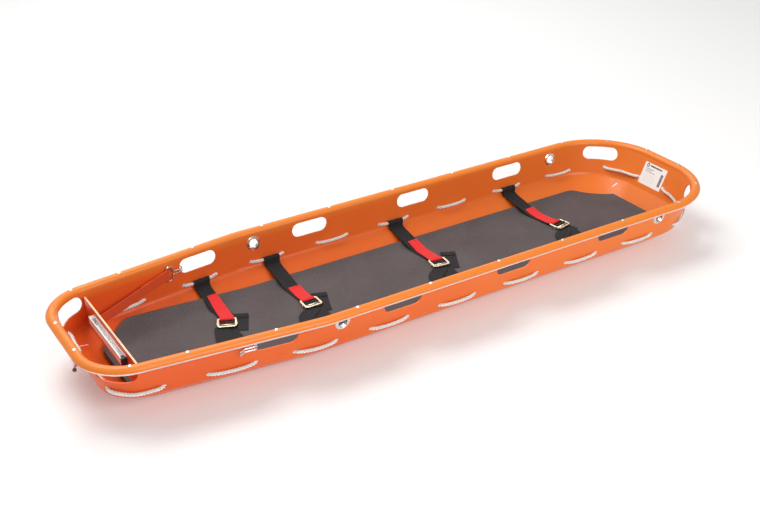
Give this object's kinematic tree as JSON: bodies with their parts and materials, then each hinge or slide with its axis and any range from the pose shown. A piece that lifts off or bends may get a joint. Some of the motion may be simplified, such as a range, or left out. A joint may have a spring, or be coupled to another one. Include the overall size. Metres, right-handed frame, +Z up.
{
  "type": "basket stretcher",
  "caption": "Moulded plastic rescue basket stretcher with tubular rim, laced lifeline, foam pad, buckled restraint straps and a strap-held foot rest.",
  "frame": {"origin": "centre of the overall box on the ground under the skid runners", "axes": "+X along the basket towards the head end, +Y to the lying patient's left, +Z up"},
  "size_m": [2.1596, 0.6096, 0.192],
  "materials": {
    "shell_orange": "fine-grained moulded polyethylene",
    "board_orange": "fine-grained moulded polyethylene",
    "rope_white": "three-strand laid polypropylene rope",
    "tube_aluminium": "mill-finished tube and channel",
    "rivet_aluminium": "satin",
    "eyelet_plated": "nickel-plated",
    "label_white": "laminated film",
    "pad_foam": "closed-cell foam skin",
    "cap_rubber": "matt",
    "webbing_black": "woven polyester webbing",
    "webbing_red": "woven polyester webbing",
    "webbing_orange": "woven polyester webbing",
    "buckle_zinc": "yellow-zinc plated",
    "hook_chrome": "bright-plated wire"
  },
  "bodies": {
    "basket": {"basket_shell": "shell_orange", "buckle_1_frame": "buckle_zinc", "buckle_2_frame": "buckle_zinc", "buckle_3_frame": "buckle_zinc", "buckle_4_frame": "buckle_zinc", "grommet_foot_left": "eyelet_plated", "grommet_foot_right": "eyelet_plated", "grommet_head_left": "eyelet_plated", "grommet_head_right": "eyelet_plated", "grommet_washer_foot_left": "eyelet_plated", "grommet_washer_foot_right": "eyelet_plated", "grommet_washer_head_left": "eyelet_plated", "grommet_washer_head_right": "eyelet_plated", "instruction_label": "label_white", "lifeline_rope": "rope_white", "mattress_pad": "pad_foam", "rim_rivets": "rivet_aluminium", "rim_tube_foot": "tube_aluminium", "rim_tube_head": "tube_aluminium", "rope_knot": "rope_white", "strap_1_left": "webbing_black", "strap_1_right": "webbing_black", "strap_1_tab": "webbing_red", "strap_2_left": "webbing_black", "strap_2_right": "webbing_black", "strap_2_tab": "webbing_red", "strap_3_left": "webbing_black", "strap_3_right": "webbing_black", "strap_3_tab": "webbing_red", "strap_4_left": "webbing_black", "strap_4_right": "webbing_black", "strap_4_tab": "webbing_red", "tube_sleeve_left": "tube_aluminium", "tube_sleeve_right": "tube_aluminium"},
    "footrest": {"footrest_plate": "board_orange", "footrest_channel": "tube_aluminium", "footrest_end_caps": "cap_rubber", "footrest_rivets": "rivet_aluminium", "footrest_strap_rivets": "rivet_aluminium", "footrest_strap_left": "webbing_orange", "footrest_strap_right": "webbing_orange", "strap_hook_left": "hook_chrome", "strap_hook_right": "hook_chrome"},
    "buckle_bar_1": {"buckle_1_bar": "buckle_zinc"},
    "buckle_bar_2": {"buckle_2_bar": "buckle_zinc"},
    "buckle_bar_3": {"buckle_3_bar": "buckle_zinc"},
    "buckle_bar_4": {"buckle_4_bar": "buckle_zinc"}
  },
  "joints": [
    {"name": "footrest_slide", "type": "slide", "parent": "basket", "child": "footrest", "axis": [1, 0, 0], "range_m": [0, 0.1]},
    {"name": "buckle_1_bar_slide", "type": "slide", "parent": "basket", "child": "buckle_bar_1", "axis": [-0.3987, -0.9171, 0], "range_m": [0, 0.006]},
    {"name": "buckle_2_bar_slide", "type": "slide", "parent": "basket", "child": "buckle_bar_2", "axis": [-0.0175, -0.9998, 0], "range_m": [0, 0.006]},
    {"name": "buckle_3_bar_slide", "type": "slide", "parent": "basket", "child": "buckle_bar_3", "axis": [-0.1219, -0.9925, 0], "range_m": [0, 0.006]},
    {"name": "buckle_4_bar_slide", "type": "slide", "parent": "basket", "child": "buckle_bar_4", "axis": [0.2164, -0.9763, 0], "range_m": [0, 0.006]}
  ]
}
